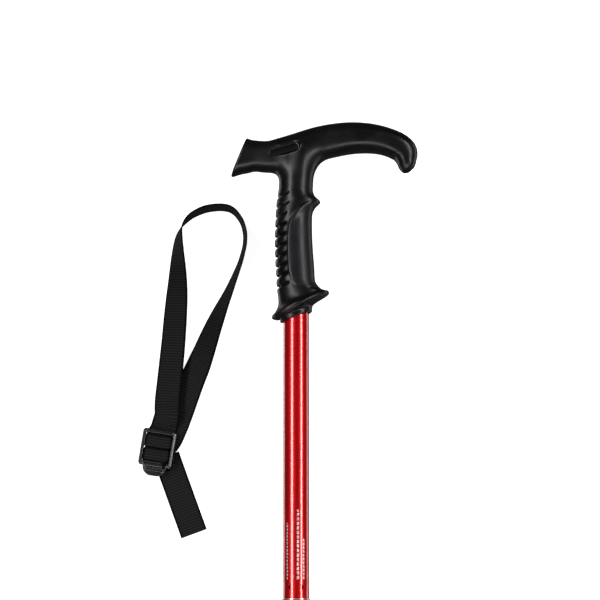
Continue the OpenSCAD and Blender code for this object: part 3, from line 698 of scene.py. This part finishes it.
def build_strap():
    rows = strap_stations()
    dense = catmull(rows, np.linspace(0, len(rows) - 1, 6000))
    length = np.concatenate([[0], np.cumsum(np.linalg.norm(np.diff(dense[:, :3], axis=0), axis=1))])
    pitch = 0.475
    count = int(round(length[-1] / pitch)) + 1
    at = np.linspace(0, length[-1], count)
    path = np.stack([np.interp(at, length, dense[:, k]) for k in range(6)], 1)
    c, w = path[:, :3], path[:, 3:]
    tan = np.gradient(c, axis=0)
    tan /= np.linalg.norm(tan, axis=1)[:, None]
    w = w - (w * tan).sum(1)[:, None] * tan
    w /= np.linalg.norm(w, axis=1)[:, None]
    up = np.cross(tan, w)
    # one ring: the face's points from edge to edge, then the back's
    k = 26
    q = np.linspace(-1, 1, k + 1)
    verts, uvs = [], []
    for face in (1, -1):
        qq = q if face > 0 else q[::-1]
        thin = WEB_T / 2 * (1 - 0.55 * np.clip((np.abs(qq) - 0.9) / 0.1, 0, 1) ** 2)
        weave = np.sin(2 * math.pi * at[:, None] / RIB_PITCH + RIB_SWAY * np.sin((qq + 1) * math.pi * WARPS))
        lift = thin[None, :] - 0.07 + 0.07 * weave * (np.abs(qq) < 0.9)
        verts.append(c[:, None] + w[:, None] * (qq * WEB_W / 2)[None, :, None]
                     + up[:, None] * (face * lift)[..., None])
        uvs.append(np.stack(np.broadcast_arrays(((qq + 1) / 2)[None, :], at[:, None] / 100), 2))
    ring = np.concatenate(verts, 1)
    uv = np.concatenate(uvs, 1)
    n, m = ring.shape[:2]
    j = np.arange(m)
    j2 = (j + 1) % m
    i = np.arange(n - 1)[:, None] * m
    quads = np.stack([i + j, i + j2, i + m + j2, i + m + j], 2).reshape(-1, 4)
    caps = []
    for base, turn in ((0, 1), ((n - 1) * m, -1)):
        for a in range(k):
            b = 2 * k + 1 - a
            quad = [base + a, base + b, base + b - 1, base + a + 1]
            caps.append(quad[::-1] if turn < 0 else quad)
    faces = np.concatenate([quads, np.array(caps)])
    obj = new_mesh("strap_webbing", ring.reshape(-1, 3) * MM, faces, mats["web"])
    layer = obj.data.uv_layers.new(name="web")
    loops = np.empty(len(obj.data.loops), np.int64)
    obj.data.loops.foreach_get("vertex_index", loops)
    layer.data.foreach_set("uv", uv.reshape(-1, 2)[loops].astype(np.float32).ravel())
    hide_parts("wrist_strap")
    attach(obj, "strap")
    return obj, length[-1]


strap, strap_length = build_strap()
print("strap length mm", round(strap_length, 1))

# ---------------------------------------------------------------- buckle


def build_buckle():
    h = 0.22
    lo = np.array([-14.0, -35.5, 1.8])
    hi = np.array([14.0, 2.0, 9.2])
    shape = np.ceil((hi - lo) / h).astype(int) + 1
    x, y, z = np.meshgrid(*(lo[i] + h * np.arange(shape[i]) for i in range(3)), indexing="ij")
    p = -y

    def slab(cx, cp, cz, hx, hp, hz, r):
        dx, dp, dz = np.abs(x - cx) - hx + r, np.abs(p - cp) - hp + r, np.abs(z - cz) - hz + r
        out = np.sqrt(np.maximum(dx, 0) ** 2 + np.maximum(dp, 0) ** 2 + np.maximum(dz, 0) ** 2)
        return out + np.minimum(np.maximum(np.maximum(dx, dp), dz), 0) - r

    f = np.full(x.shape, 1e3)
    # rails, slightly arched along their length
    arch = 0.35 * np.sin(np.clip(p / 26, 0, 1) * math.pi)
    for s in (-1, 1):
        dx = np.abs(x - s * 10.75) - 1.1 + 0.5
        dp = np.abs(p - 13) - 13 + 1.6
        # the right rail's top slopes down outwards
        dz = np.abs(z - 5.5 - arch) - 2.1 + 0.5
        slope = ((z - 7.3 - arch) + 0.42 * (s * x - 10.9)) * 0.92 + 0.5
        if s > 0:
            dz = np.maximum(dz, slope)
        out = np.sqrt(np.maximum(dx, 0) ** 2 + np.maximum(dp, 0) ** 2 + np.maximum(dz, 0) ** 2)
        f = np.minimum(f, out + np.minimum(np.maximum(np.maximum(dx, dp), dz), 0) - 0.5)
    bars = [slab(0, 1.3, 5.3, 11.2, 1.3, 1.35, 0.5), slab(0, 8.3, 4.9, 11.0, 2.25, 0.93, 0.6),
            slab(0, 18.0, 4.9, 11.0, 2.35, 0.93, 0.6), slab(0, 24.25, 5.2, 11.2, 1.75, 1.25, 0.7)]
    for b in bars:
        f = smin(f, b, 0.7)
    # thumb tab: rounded plate with a raised rim and cross ridges
    tab = np.hypot(np.maximum(np.abs(x) - 2.0, 0), np.maximum(p - 26.5, 0)) - 6.2
    tab = np.maximum(tab, 24.5 - p)
    lift = 0.10 * np.maximum(p - 25, 0)
    plate = smax(tab, np.abs(z - 5.4 - lift) - 0.95, 0.7)
    rim = smax(np.abs(tab + 0.7) - 0.7, np.abs(z - 5.75 - lift) - 1.15, 0.5)
    ridges = smax(tab + 1.6, np.abs(z - 5.9 - lift) - 0.75, 0.4)
    ridges = smax(ridges, 0.45 - 0.9 * np.abs(np.cos((p - 25.4) * math.pi / 1.7)), 0.3)
    f = smin(f, smin(smin(plate, rim, 0.5), ridges, 0.2), 0.8)
    verts, quads = surface_nets(f.astype(np.float32), lo, h)
    verts = settle(verts, f, lo, h)
    bx, by, turn = BUCKLE
    ca, sa = cosd(turn), sind(turn)
    out = np.stack([bx + verts[:, 0] * ca - verts[:, 1] * sa, by + verts[:, 0] * sa + verts[:, 1] * ca,
                    FLOOR_Z + verts[:, 2]], 1)
    obj = new_mesh("buckle_moulding", out * MM, quads, mats["buckle"])
    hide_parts("strap_buckle")
    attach(obj, "strap")
    return obj


buckle = build_buckle()

# ---------------------------------------------------------------- floor
bpy.ops.mesh.primitive_plane_add(size=30, location=(0, 0.4, (FLOOR_Z - 0.05) * MM))
floor = bpy.context.object
floor.name = "floor"
ft = Tree("floor_paper")
grain = ft.noise(300, 3, 0.5)
ft.set(color=ft.mix(grain, (0.40, 0.40, 0.40), (0.43, 0.43, 0.43)), roughness=0.9,
       emission_color=(1.0, 1.0, 1.0), emission_strength=0.90, specular=0.1)
floor.data.materials.append(ft.mat)
floor.visible_glossy = False
floor.visible_diffuse = False
floor.visible_shadow = False
